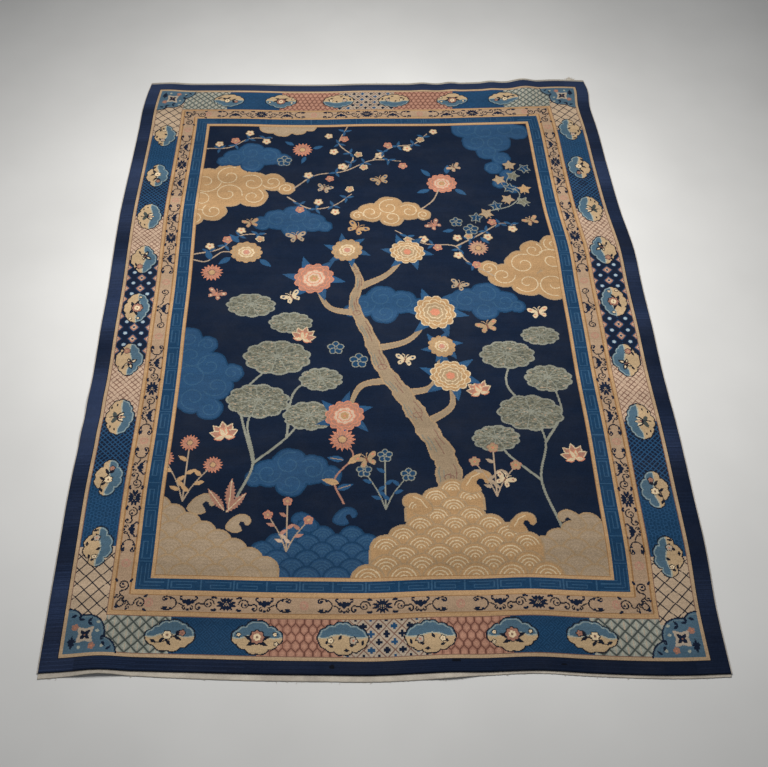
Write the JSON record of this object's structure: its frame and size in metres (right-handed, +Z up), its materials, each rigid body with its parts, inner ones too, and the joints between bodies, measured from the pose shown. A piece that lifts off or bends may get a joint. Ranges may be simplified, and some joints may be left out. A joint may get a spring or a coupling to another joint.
{
  "type": "chinese rug",
  "caption": "Rectangular hand-knotted wool carpet with framed borders, flat-woven cotton end strips and overcast sides; lies flat on a floor.",
  "frame": {"origin": "on the floor under the middle of the carpet's overall box", "axes": "+X to the right across the carpet, +Y along its length away from the viewer, +Z up out of the pile"},
  "size_m": [2.7898, 3.754, 0.0255],
  "materials": {
    "wool_pile": "hand-knotted cut wool pile in navy, blues, tans, gold, rose and ivory, with a soft directional sheen and knot rows",
    "cotton_yarn": "undyed cotton yarn, matt, in the flat-woven end strips and the overcast side edges"
  },
  "bodies": {
    "root": {"carpet": "wool_pile", "overcast_edge_left": "cotton_yarn", "overcast_edge_right": "cotton_yarn"}
  },
  "joints": []
}
